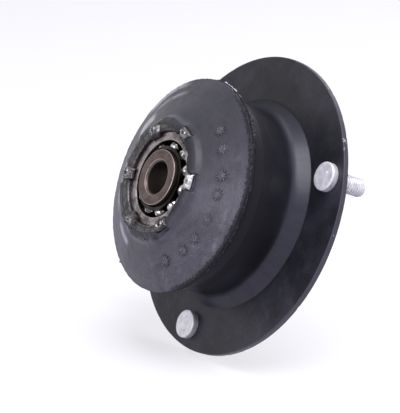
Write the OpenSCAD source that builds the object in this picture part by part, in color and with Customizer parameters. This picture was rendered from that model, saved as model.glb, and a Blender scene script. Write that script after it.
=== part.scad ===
// Strut mount: a bonded rubber top mount with a staked self-aligning bearing.
// Millimetres. The bearing axis is Z, the bearing side is up, and the origin
// lies on the axis in the flange's seating face, so the studs point down.

/* [Flange plate] */
// Outer diameter of the drawn neck
neck_d = 84; // [78:0.5:94]
// Thickness of the pressed sheet
sheet_t = 2.5; // [2:0.1:3]
// Radial width of the flat flange
flange_w = 20.4; // [18:0.2:28]
// Radial width of the cone between flange and neck
cone_w = 4.6; // [3:0.1:7]
// Height at which the cone runs into the neck
neck_start = 8; // [6.5:0.1:10]
// Height of the turned-in lip's outer face
lip_z = 27.5; // [26:0.1:28]
// Radial width of the lip
lip_w = 11; // [8:0.5:12.5]
// Outer radius of the bend between neck and lip
bend_r = 4; // [3.5:0.1:6]
// Edge break along the flange's rim
rim_break = 0.4; // [0.2:0.1:0.8]

/* [Studs] */
// Number of studs
stud_count = 3; // [2:1:5]
// Radial distance of a stud's axis from the flange's inner edge
stud_inset = 10.9; // [9:0.1:12]
// Thread diameter
stud_d = 8; // [6:0.5:9]
// Length of thread below the seating face
stud_l = 16; // [12:0.5:30]
// Diameter of the round head
stud_head_d = 12.5; // [12:0.1:14]
// Height of the round head
stud_head_h = 3; // [2:0.1:4]
// Radial growth of the pressed collar over the thread
stud_collar = 0.1; // [0.05:0.01:0.2]
// Radial clearance between the pressed collar and its hole
stud_fit = 0.05; // [0.02:0.01:0.1]
// Lead-in chamfer at the thread's end
stud_lead = 1; // [0.5:0.1:1.5]

/* [Bearing] */
// Height of the bearing's centre above the seating face
bearing_z = 39.5; // [38.5:0.1:41]
// Bore for the strut rod
bore_d = 14; // [10:0.5:15]
// Chamfer at both ends of the bore
bore_chamfer = 0.95; // [0.5:0.05:1.2]
// Radial step from the ball circle down to the inner race's land
inner_land = 2.1; // [1.8:0.1:2.4]
// Width of the inner race
inner_w = 18.8; // [17:0.2:22]
// Outer diameter of the outer race
outer_od = 41.6; // [38:0.2:46]
// Thinnest wall of the outer race, over its spherical raceway
outer_wall = 2.68; // [2.4:0.02:3]
// Width of the outer race
outer_w = 14; // [13.4:0.2:15]
// Edge break on the races
race_break = 0.4; // [0.2:0.05:0.6]
// Ball diameter
ball_d = 6.35; // [5.5:0.05:6.8]
// Balls in each row
ball_count = 11; // [8:1:11]
// Distance between the two rows of balls
row_gap = 7.4; // [7:0.1:8]
// Turn of the bearing-side row about the axis, in degrees
ball_phase = 8; // [0:1:32]
// Running clearance between balls and races
running_gap = 0.08; // [0.05:0.01:0.12]

/* [Cages] */
// Wall of the pressed cage
cage_t = 1.1; // [0.8:0.1:1.3]
// How far the cage's wall lies inside the ball circle
cage_inset = 0.2; // [0.1:0.05:0.3]
// Clearance between a ball and its pocket
pocket_gap = 0.12; // [0.08:0.02:0.2]
// Metal left outside the pockets on the cage's closed side
cage_rim = 0.6; // [0.4:0.1:1]
// Gap between the two cages at the bearing's middle
cage_split = 2; // [1:0.2:3]
// How far the rim reaches in past the cage's wall
cage_turn = 0.35; // [0.1:0.05:0.5]

/* [Bearing hub] */
// Wall of the sleeve round the outer race
hub_wall = 4.2; // [3:0.1:5]
// Radial fit of the outer race in its seat
seat_fit = 0.02; // [0.01:0.01:0.05]
// Rim height above the outer race
hub_rim_h = 1.5; // [1:0.1:2.5]
// Shoulder height under the outer race
hub_floor = 3.5; // [2.5:0.1:4.5]
// Opening in the shoulder
hub_opening_d = 35.2; // [33:0.2:38]
// Cover of rubber outside the load flange's edge
load_flange_cover = 6.3; // [4:0.1:10]
// Thickness of the load flange
load_flange_t = 3; // [2:0.1:4]
// Edge break on the hub
hub_break = 0.6; // [0.3:0.1:1]

/* [Staked lugs] */
// Number of lugs
lug_count = 6; // [4:2:8]
// Width of a lug
lug_w = 6; // [4:0.5:9]
// How far a lug reaches over the outer race
lug_reach = 1.4; // [0.8:0.1:2]
// Height of a lug above the hub's rim
lug_h = 1.5; // [0.8:0.1:2.5]
// Thickness of the bent lug
lug_t = 2.2; // [1.6:0.1:2.8]
// Turn of the first lug about the axis, in degrees
lug_phase = 43; // [0:1:60]

/* [Rubber body] */
// Overhang of the disc's rim past the neck
disc_overhang = 5.3; // [4:0.1:9]
// Height of the rim's widest line above the load flange's middle
disc_rise = 0.7; // [0:0.1:1.5]
// Height of the rim's upright edge
disc_edge = 2.2; // [1.4:0.1:3]
// Width of the flash along the rim's parting line
flash_w = 0.5; // [0.2:0.1:1]
// Radial width of the soft collar round the hub
collar_w = 4.3; // [3:0.1:6]
// Height of the collar above the disc's face
collar_h = 3.2; // [2:0.1:4]
// Drop of the collar's crown below the hub's rim
collar_drop = 0.5; // [0.2:0.1:1]
// Skin that laps over the neck
lap_t = 0.8; // [0.5:0.1:1.2]
// Length of the lap below the lip
lap_l = 7; // [5:0.5:12]
// Depth of the rubber on the neck's inner wall
cup_skin_z = 13; // [11:0.5:18]
// Rubber under the hub's lower face
under_hub_t = 6; // [5:0.1:8]

/* [Hidden] */
$fn = 96;
eps = 0.01;

neck_r = neck_d / 2;
crease_r = neck_r + cone_w;
flange_r = crease_r + flange_w;
cup_r = neck_r - sheet_t;
lip_r = neck_r - lip_w;
cone_angle = atan2(neck_start - sheet_t, crease_r - neck_r);
seat_edge_r = crease_r - sheet_t * tan(cone_angle / 2);
cup_start = neck_start - sheet_t * tan((90 - cone_angle) / 2);

stud_circle_r = crease_r + stud_inset;
stud_r = stud_d / 2;
stud_collar_r = stud_r + stud_collar;
stud_hole_r = stud_collar_r + stud_fit;
stud_head_r = stud_head_d / 2;
stud_head_edge = stud_head_h / 5;

ball_r = ball_d / 2;
row_z = row_gap / 2;
groove_r = ball_r + running_gap;
outer_r = outer_od / 2;
raceway_r = outer_r - outer_wall;
pitch_r = sqrt(pow(raceway_r - groove_r, 2) - row_z * row_z);
inner_r = pitch_r - inner_land;
raceway_mouth_r = sqrt(raceway_r * raceway_r - outer_w * outer_w / 4);
pocket_r = ball_r + pocket_gap;
cage_top = row_z + pocket_r + cage_rim;
cage_out_r = pitch_r - cage_inset;
cage_in_r = cage_out_r - cage_t;

seat_r = outer_r + seat_fit;
hub_r = seat_r + hub_wall;
race_floor_z = bearing_z - outer_w / 2;
race_face_z = bearing_z + outer_w / 2;
hub_foot_z = race_floor_z - hub_floor;
hub_top_z = race_face_z + hub_rim_h;
hub_opening_r = hub_opening_d / 2;
load_flange_r = neck_r + disc_overhang - load_flange_cover;
load_flange_z = race_floor_z;
lug_tip_z = hub_top_z + lug_h;
lug_end_r = outer_r - lug_reach;

disc_r = neck_r + disc_overhang;
disc_z = load_flange_z + load_flange_t / 2 + disc_rise;
collar_r = hub_r + collar_w;
collar_top_z = hub_top_z - collar_drop;
collar_foot_z = collar_top_z - collar_h;
lap_r = neck_r + lap_t;
under_hub_z = hub_foot_z - under_hub_t;

// Points on an arc about centre c, from angle a0 to a1
function arc(c, r, a0, a1, n = 8) =
    [for (i = [0:n]) c + r * [cos(a0 + (a1 - a0) * i / n), sin(a0 + (a1 - a0) * i / n)]];

// Points on a soft bend from p to q that is drawn towards the corner k
function bend(p, k, q, n = 8) =
    [for (i = [0:n]) let (t = i / n) (1 - t) * (1 - t) * p + 2 * t * (1 - t) * k + t * t * q];

// Section of the pressed flange: flat rim, cone, neck and turned-in lip
module flange_section() {
    polygon(concat(
        [[seat_edge_r, 0],
         [flange_r - rim_break, 0],
         [flange_r, rim_break],
         [flange_r, sheet_t - rim_break],
         [flange_r - rim_break, sheet_t],
         [crease_r, sheet_t],
         [neck_r, neck_start]],
        arc([neck_r - bend_r, lip_z - bend_r], bend_r, 0, 90),
        [[lip_r, lip_z],
         [lip_r, lip_z - sheet_t]],
        arc([neck_r - bend_r, lip_z - bend_r], bend_r - sheet_t, 90, 0),
        [[cup_r, cup_start]]
    ));
}

// Section of the hub: sleeve, shoulder under the race and buried load flange
module hub_section() {
    polygon([
        [hub_opening_r, hub_foot_z],
        [hub_r - hub_break, hub_foot_z],
        [hub_r, hub_foot_z + hub_break],
        [hub_r, load_flange_z],
        [load_flange_r - hub_break, load_flange_z],
        [load_flange_r, load_flange_z + hub_break],
        [load_flange_r, load_flange_z + load_flange_t - hub_break],
        [load_flange_r - hub_break, load_flange_z + load_flange_t],
        [hub_r, load_flange_z + load_flange_t],
        [hub_r, hub_top_z - hub_break],
        [hub_r - hub_break, hub_top_z],
        [seat_r + hub_break, hub_top_z],
        [seat_r, hub_top_z - hub_break],
        [seat_r, race_floor_z],
        [hub_opening_r, race_floor_z]
    ]);
}

// Section of a lug that is bent in over the outer race
module lug_section() {
    lug_back_r = hub_r - hub_break;
    polygon(concat(
        [[lug_end_r, race_face_z + seat_fit],
         [seat_r + hub_break, race_face_z + seat_fit],
         [lug_back_r, hub_top_z - hub_break]],
        bend([lug_back_r, hub_top_z], [lug_back_r, lug_tip_z], [lug_back_r - lug_t / 2, lug_tip_z], 4),
        bend([lug_back_r - lug_t, lug_tip_z], [lug_end_r, hub_top_z + lug_h / 2],
             [lug_end_r, race_face_z + seat_fit + hub_break], 6)
    ));
}

// Section of the rubber before the metal pieces are taken out of it
module rubber_section() {
    core_r = (seat_r + hub_r) / 2;
    skin_r = neck_r - sheet_t / 2;
    under_r = (hub_opening_r + hub_r) / 2;
    edge_z = disc_z - disc_edge / 2;
    polygon(concat(
        [[under_r, hub_foot_z + hub_floor / 2]],
        bend([under_r, under_hub_z + under_hub_t / 2], [under_r, under_hub_z],
             [hub_r, under_hub_z], 3),
        bend([hub_r + under_hub_t, under_hub_z], [cup_r - under_hub_t, under_hub_z],
             [cup_r, cup_skin_z]),
        [[skin_r, cup_skin_z],
         [skin_r, lip_z - lap_l],
         [neck_r, lip_z - lap_l]],
        bend([neck_r + lap_t / 2, lip_z - lap_l], [lap_r, lip_z - lap_l],
             [lap_r, lip_z - lap_l + lap_t], 3),
        bend([lap_r, lip_z], [lap_r, edge_z - disc_edge / 2], [disc_r - disc_edge / 2, edge_z]),
        [[disc_r, edge_z + disc_edge / 3],
         [disc_r, disc_z],
         [disc_r + flash_w, disc_z + flash_w / 2],
         [disc_r, disc_z + flash_w]],
        bend([disc_r, disc_z + disc_edge / 3], [disc_r - disc_edge / 8, disc_z + disc_edge / 2],
             [disc_r - disc_edge, disc_z + disc_edge / 2 + disc_edge / 3], 4),
        bend([collar_r + collar_w / 2, collar_foot_z - collar_w / 4],
             [collar_r - collar_w / 8, collar_foot_z + collar_h / 8],
             [collar_r - collar_w / 3, collar_top_z - collar_h / 3], 5),
        bend([collar_r - collar_w / 2, collar_top_z], [hub_r + collar_w / 4, collar_top_z + collar_drop / 2],
             [hub_r, collar_top_z - collar_h / 5], 5),
        [[core_r, collar_top_z - collar_h / 5],
         [core_r, hub_foot_z + hub_floor / 2]]
    ));
}

module flange_plate() {
    color("dimgray")
    difference() {
        rotate_extrude() flange_section();
        for (i = [0:stud_count - 1])
            rotate(180 + 360 / stud_count * i)
            translate([stud_circle_r, 0, -eps])
            cylinder(r = stud_hole_r, h = sheet_t + 2 * eps);
    }
}

// One press-in stud, standing on the axis with its head above the flange
module stud() {
    rotate_extrude()
    polygon([
        [0, -stud_l],
        [stud_r - stud_lead, -stud_l],
        [stud_r, stud_lead - stud_l],
        [stud_r, 0],
        [stud_collar_r, 0],
        [stud_collar_r, sheet_t],
        [stud_head_r, sheet_t],
        [stud_head_r, sheet_t + stud_head_h - stud_head_edge],
        [stud_head_r - stud_head_edge, sheet_t + stud_head_h],
        [0, sheet_t + stud_head_h]
    ]);
}

module studs() {
    color("silver")
    for (i = [0:stud_count - 1])
        rotate(180 + 360 / stud_count * i)
        translate([stud_circle_r, 0, 0])
        stud();
}

module rubber_body() {
    color([0.16, 0.16, 0.18])
    rotate_extrude()
    difference() {
        rubber_section();
        hub_section();
        flange_section();
    }
}

module bearing_hub() {
    color([0.62, 0.62, 0.6])
    union() {
        rotate_extrude() hub_section();
        intersection() {
            rotate_extrude() lug_section();
            for (i = [0:lug_count / 2 - 1])
                rotate(lug_phase + 360 / lug_count * i)
                translate([-load_flange_r, -lug_w / 2, race_floor_z])
                cube([2 * load_flange_r, lug_w, lug_tip_z - race_floor_z + lug_h]);
        }
    }
}

module outer_race() {
    color([0.55, 0.47, 0.45])
    difference() {
        rotate_extrude()
        polygon([
            [0, race_floor_z],
            [outer_r - race_break, race_floor_z],
            [outer_r, race_floor_z + race_break],
            [outer_r, race_face_z - race_break],
            [outer_r - race_break, race_face_z],
            [0, race_face_z]
        ]);
        translate([0, 0, bearing_z]) sphere(r = raceway_r);
        for (side = [-1, 1])
            translate([0, 0, bearing_z + side * outer_w / 2])
            rotate([side > 0 ? 0 : 180, 0, 0])
            translate([0, 0, -race_break])
            cylinder(r1 = raceway_mouth_r - race_break, r2 = raceway_mouth_r + race_break + eps,
                     h = 2 * race_break + eps);
    }
}

module inner_race() {
    half_w = inner_w / 2;
    bore_r = bore_d / 2;
    color([0.5, 0.46, 0.42])
    translate([0, 0, bearing_z])
    difference() {
        rotate_extrude()
        difference() {
            polygon([
                [bore_r, bore_chamfer - half_w],
                [bore_r + bore_chamfer, -half_w],
                [inner_r - race_break, -half_w],
                [inner_r, race_break - half_w],
                [inner_r, half_w - race_break],
                [inner_r - race_break, half_w],
                [bore_r + bore_chamfer, half_w],
                [bore_r, half_w - bore_chamfer]
            ]);
            for (side = [-1, 1])
                translate([pitch_r, side * row_z]) circle(r = groove_r);
        }
    }
}

// Balls of one row, seen as angles about the axis; the lower row sits between the upper ones
function ball_angle(i, side) = ball_phase + 360 / ball_count * (i + (side > 0 ? 0 : 0.5));

module place_ball(i, side) {
    translate([0, 0, bearing_z])
    rotate(ball_angle(i, side))
    translate([pitch_r, 0, side * row_z])
    children();
}

module ball(i, side) {
    color("gainsboro")
    place_ball(i, side) sphere(r = ball_r);
}

// Pressed comb cage of one row: an open wall between the balls and a closed outer rim
module cage(side) {
    color([0.3, 0.25, 0.2])
    difference() {
        translate([0, 0, bearing_z])
        rotate(ball_angle(1 / 2, side))
        rotate_extrude()
        polygon([
            [cage_in_r, side * cage_split / 2],
            [cage_out_r, side * cage_split / 2],
            [cage_out_r, side * cage_top],
            [cage_in_r - cage_turn, side * cage_top],
            [cage_in_r - cage_turn, side * (cage_top - cage_rim)],
            [cage_in_r, side * (cage_top - 2 * cage_rim)]
        ]);
        for (i = [0:ball_count - 1])
            place_ball(i, side) sphere(r = pocket_r);
    }
}

module cage_upper() { cage(1); }
module cage_lower() { cage(-1); }

flange_plate();
studs();
rubber_body();
bearing_hub();
outer_race();
inner_race();
cage_upper();
cage_lower();
for (i = [1:ball_count]) {
    ball(i, 1);
    ball(i, -1);
}
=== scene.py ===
"""Looks of a strut mount: its worn and moulded surfaces, the light and the camera."""

import logging
import math
from contextlib import contextmanager
from dataclasses import dataclass
from enum import Enum
from typing import Callable, Iterator, Optional, Union

import bpy
from mathutils import Matrix, Vector, noise


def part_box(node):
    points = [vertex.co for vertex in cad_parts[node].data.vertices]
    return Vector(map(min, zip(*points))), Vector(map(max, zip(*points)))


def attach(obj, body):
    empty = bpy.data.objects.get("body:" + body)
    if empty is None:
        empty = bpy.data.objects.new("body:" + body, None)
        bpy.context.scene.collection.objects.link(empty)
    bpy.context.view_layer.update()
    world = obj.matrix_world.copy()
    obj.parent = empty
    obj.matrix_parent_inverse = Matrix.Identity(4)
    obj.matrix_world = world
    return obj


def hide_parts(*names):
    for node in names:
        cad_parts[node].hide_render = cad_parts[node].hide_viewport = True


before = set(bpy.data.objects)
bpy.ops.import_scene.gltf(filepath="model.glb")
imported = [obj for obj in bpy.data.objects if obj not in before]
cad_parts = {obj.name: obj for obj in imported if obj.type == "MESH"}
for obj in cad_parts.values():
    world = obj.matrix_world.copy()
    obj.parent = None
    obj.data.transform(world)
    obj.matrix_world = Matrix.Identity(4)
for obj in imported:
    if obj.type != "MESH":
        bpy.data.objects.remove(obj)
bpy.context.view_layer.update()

log = logging.getLogger("strut_mount")

MM = 0.001
IMAGE_PIXELS = (400, 413)
SENSOR_MM = 36.0
NOISE_SEED = 4
MERGE_MM = 0.001
SAME_SPOT_MM = 0.005
WHITE = (1.0, 1.0, 1.0)

Point = tuple[float, float]
Triple = tuple[float, float, float]
Pair = tuple[Point, Point]


class Body(Enum):
    """The bodies that move against each other."""

    MOUNT = "mount"
    CAGE = "ball_cage"
    INNER = "inner_ring"


class Slot(Enum):
    """The record's material slots, passed along with each new piece."""

    PAINT = "flange_paint"
    ZINC = "stud_zinc"
    RUBBER = "rubber"
    ALLOY = "hub_alloy"
    RACE = "race_steel"
    BALL = "ball_steel"


# Shader maths


class Wire:
    """A node's output that Python's operators can combine."""

    def __init__(self, board: "Board", socket: Optional[bpy.types.NodeSocket]) -> None:
        """Keep the board and the output socket, if the node has one."""
        self.board = board
        self.socket = socket

    def _math(self, operation: str, first: "Amount", second: "Amount") -> "Wire":
        """Add a Math node on two values."""
        return self.board.node("ShaderNodeMath", {"operation": operation}, {0: first, 1: second})

    def __add__(self, other: "Amount") -> "Wire":
        """Sum."""
        return self._math("ADD", self, other)

    __radd__ = __add__

    def __sub__(self, other: "Amount") -> "Wire":
        """Difference."""
        return self._math("SUBTRACT", self, other)

    def __rsub__(self, other: "Amount") -> "Wire":
        """Difference, with this value taken away."""
        return self._math("SUBTRACT", other, self)

    def __mul__(self, other: "Amount") -> "Wire":
        """Product."""
        return self._math("MULTIPLY", self, other)

    __rmul__ = __mul__

    def __truediv__(self, other: "Amount") -> "Wire":
        """Quotient."""
        return self._math("DIVIDE", self, other)

    def __pow__(self, other: "Amount") -> "Wire":
        """Power."""
        return self._math("POWER", self, other)

    def ramp(self, low: float, high: float) -> "Wire":
        """Rise smoothly from 0 at low to 1 at high."""
        settings = {"interpolation_type": "SMOOTHSTEP"}
        return self.board.node("ShaderNodeMapRange", settings, {0: self, 1: low, 2: high})

    def band(self, low: float, high: float, soft: float) -> "Wire":
        """Be 1 between two values and fall off softly outside them."""
        return self.ramp(low - soft, low) * (1 - self.ramp(high, high + soft))


Amount = Union[float, Wire]
Tint = Union[Triple, Wire]


@dataclass(frozen=True)
class Place:
    """Object coordinates in millimetres, whole and split, and the distance from the axis."""

    spot: Wire
    x: Wire
    y: Wire
    z: Wire
    radius: Wire

    def towards(self, angle: float) -> Wire:
        """Distance along a direction, given by its angle in degrees."""
        return self.x * math.cos(math.radians(angle)) + self.y * math.sin(math.radians(angle))

    def across(self, angle: float) -> Wire:
        """Distance to the side of a direction, given by its angle in degrees."""
        return self.y * math.cos(math.radians(angle)) - self.x * math.sin(math.radians(angle))

    def facing(self, angle: float) -> Wire:
        """1 in a direction and -1 opposite to it, given by its angle in degrees."""
        return self.towards(angle) / self.radius


class Board:
    """The node tree of a material or of the room."""

    def __init__(self, owner: Union[bpy.types.Material, bpy.types.World]) -> None:
        """Empty the owner's node tree.

        Args:
            owner: The material or the room.
        """
        self.owner = owner
        owner.use_nodes = True
        self.tree = owner.node_tree
        self.tree.nodes.clear()

    def node(
        self,
        kind: str,
        settings: Optional[dict] = None,
        inputs: Optional[dict] = None,
        out: Union[int, str] = 0,
    ) -> Wire:
        """Add a node, set it up and feed it.

        Args:
            kind: The node's type.
            settings: Its settings, which are set first.
            inputs: Values or wires by socket name or number.
            out: The output that is wanted.

        Returns:
            That output.
        """
        made = self.tree.nodes.new(kind)
        for key, value in (settings or {}).items():
            setattr(made, key, value)
        for key, value in (inputs or {}).items():
            socket = made.inputs[key]
            if isinstance(value, Wire):
                self.tree.links.new(value.socket, socket)
            elif isinstance(value, tuple) and socket.type == "RGBA":
                socket.default_value = (*value, 1.0)
            else:
                socket.default_value = value
        return Wire(self, made.outputs[out] if made.outputs else None)

    def spot(self) -> Wire:
        """Object coordinates in millimetres."""
        metres = self.node("ShaderNodeTexCoord", out="Object")
        return self.node("ShaderNodeVectorMath", {"operation": "SCALE"}, {0: metres, "Scale": 1 / MM})

    def place(self) -> Place:
        """Object coordinates in millimetres, also split and as a radius.

        Returns:
            The place.
        """
        spot = self.spot()
        split = self.node("ShaderNodeSeparateXYZ", inputs={0: spot}).socket.node
        x, y, z = (Wire(self, output) for output in split.outputs)
        return Place(spot, x, y, z, (x * x + y * y) ** 0.5)

    def join(self, x: Amount, y: Amount, z: Amount) -> Wire:
        """Join three values into a place."""
        return self.node("ShaderNodeCombineXYZ", inputs={0: x, 1: y, 2: z})

    def noise(self, spot: Wire, size: float, detail: float = 3.0, rough: float = 0.6) -> Wire:
        """Cloudy noise.

        Args:
            spot: Where it is read, in millimetres.
            size: The size of its clouds.
            detail: How many finer layers it has.
            rough: How strong the finer layers are.

        Returns:
            A value round one half.
        """
        feed = {"Vector": spot, "Scale": 1 / size, "Detail": detail, "Roughness": rough}
        return self.node("ShaderNodeTexNoise", inputs=feed)

    def rings(self, at: Place, size: float) -> Wire:
        """Rings of a lathe's tool, about a size apart in millimetres."""
        return self.noise(self.join(at.radius / size, at.z / size, 0.0), 1.0)

    def coats(self, base: Tint, *layers: tuple[Wire, Triple]) -> Wire:
        """Lay colours over each other.

        Args:
            base: The colour underneath.
            layers: How much of each further colour shows, from 0 to 1, and the colour.

        Returns:
            The blend.
        """
        settings = {"data_type": "RGBA", "clamp_factor": True}
        for share, colour in layers:
            base = self.node("ShaderNodeMix", settings, {0: share, 6: base, 7: colour}, 2)
        return base

    def bump(self, height: Wire, strength: float, depth: float) -> Wire:
        """A normal that follows a height.

        Args:
            height: The height, from 0 to 1.
            strength: How much of it shows.
            depth: What a height of 1 stands for, in millimetres.

        Returns:
            The normal.
        """
        feed = {"Strength": strength, "Distance": depth * MM, "Height": height}
        return self.node("ShaderNodeBump", inputs=feed)

    def background_rays(self) -> Wire:
        """Be 1 for rays that show the background: straight, mirrored or through glass.

        Returns:
            The mask.
        """
        names = ("Is Camera Ray", "Is Glossy Ray", "Is Transmission Ray")
        straight, mirrored, through = (self.node("ShaderNodeLightPath", out=name) for name in names)
        return straight + mirrored + through

    def finish(self, sockets: dict) -> bpy.types.Material:
        """Close the material with a principled surface.

        Args:
            sockets: Values or wires by the shader's socket names.

        Returns:
            The material.
        """
        surface = self.node("ShaderNodeBsdfPrincipled", inputs=sockets)
        self.node("ShaderNodeOutputMaterial", inputs={"Surface": surface})
        return self.owner


# Finishes


@dataclass(frozen=True)
class SatinPaint:
    """Black dip coat on the pressed flange, rubbed to bare steel along its rim; painted shade on the neck
    and the cone's top, and a painted tint of the cone's highlight.
    """

    rim_r: float
    crease_r: float
    coat: Triple = (0.0072, 0.0075, 0.0098)
    worn: Triple = (0.0225, 0.0228, 0.0295)
    dust: Triple = (0.08, 0.078, 0.095)
    drawn_streak_and_highlight_tint: Triple = (0.026, 0.026, 0.046)
    steel: Triple = (0.42, 0.42, 0.42)
    dusty_angle: float = -165.0
    shaded_top_angle: float = 20.0
    cone_w: float = 4.0
    cone_top: float = 9.0
    neck_from: float = 8.5
    streaks: float = 60.0

    def material(self) -> bpy.types.Material:
        """Make the paint.

        Returns:
            The material.
        """
        board = Board(bpy.data.materials.new("satin_black_coat"))
        at = board.place()
        clouds = board.noise(at.spot, 22.0, 4.0)
        grain = board.noise(at.spot, 0.9, 2.0, 0.55)
        specks = board.noise(at.spot, 1.1, 3.0, 0.75).ramp(0.58, 0.78)
        film = board.noise(at.spot, 7.0, 5.0, 0.7).ramp(0.42, 0.72)
        around_x, around_y = (axis / at.radius * self.streaks for axis in (at.x, at.y))
        drawn = board.noise(board.join(around_x, around_y, at.z * 0.08), 1.0)
        flat = at.radius.ramp(self.crease_r, self.crease_r + 1.5)
        cone_end = self.crease_r - 0.3
        cone = at.radius.band(cone_end - self.cone_w, cone_end, 0.3)
        cone = cone * (1 - at.z.ramp(self.cone_top, self.cone_top + 2.0))
        # Painted shade: the neck, under the disc, is darkened towards the plain coat.
        neck = at.z.ramp(self.neck_from, self.neck_from + 3.5)
        dusty = (at.towards(self.dusty_angle) / self.rim_r).ramp(-0.1, 0.9) * flat
        # Painted shade: the cone and neck are darkened on their side at 20 degrees, where they face the dark
        # flange, and lose coat there.
        dull = at.facing(self.shaded_top_angle).ramp(0.6, 0.95) * (1 - flat)
        edge = at.radius.ramp(self.rim_r - 0.6, self.rim_r - 0.3)
        chips = edge * board.noise(at.spot, 5.5, 5.0, 0.7).ramp(0.6, 0.67)
        tone = board.coats(
            self.coat,
            (clouds.ramp(0.35, 0.75), self.worn),
            ((specks * 0.45 + film * 0.1) * (0.25 + flat * 0.75), self.dust),
            (dusty * (0.12 + film * 0.12), self.dust),
            # The cone's drawn streaks, lightened and tinted blue: partly the streaks' own tone, partly a
            # painted tint of the cone's highlight.
            (cone * (0.3 + drawn * 0.5), self.drawn_streak_and_highlight_tint),
            # painted shade on the neck
            (neck * 0.6, self.coat),
            # painted shade on the cone's top side
            (dull * 0.7, self.coat),
            (edge * 0.5, self.dust),
            (chips, self.steel),
        )
        sheen = 0.34 - neck * 0.22 + cone * (drawn * 0.4 - 0.06)
        return board.finish({
            "Base Color": tone,
            "Metallic": chips,
            "Roughness": 0.36 + clouds * 0.12 + film * 0.08,
            "Specular IOR Level": 0.06,
            "Coat Weight": sheen * (1 - dull * 0.65),
            "Coat Roughness": 0.32,
            "Normal": board.bump(grain, 0.12, 0.12),
        })


@dataclass(frozen=True)
class RubbedHighlight:
    """A patch where the rubber's face is rubbed smooth and lightened as a painted highlight, in millimetres
    and degrees.
    """

    radius: float
    angle: float
    half_length: float
    half_width: float
    strength: float


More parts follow.
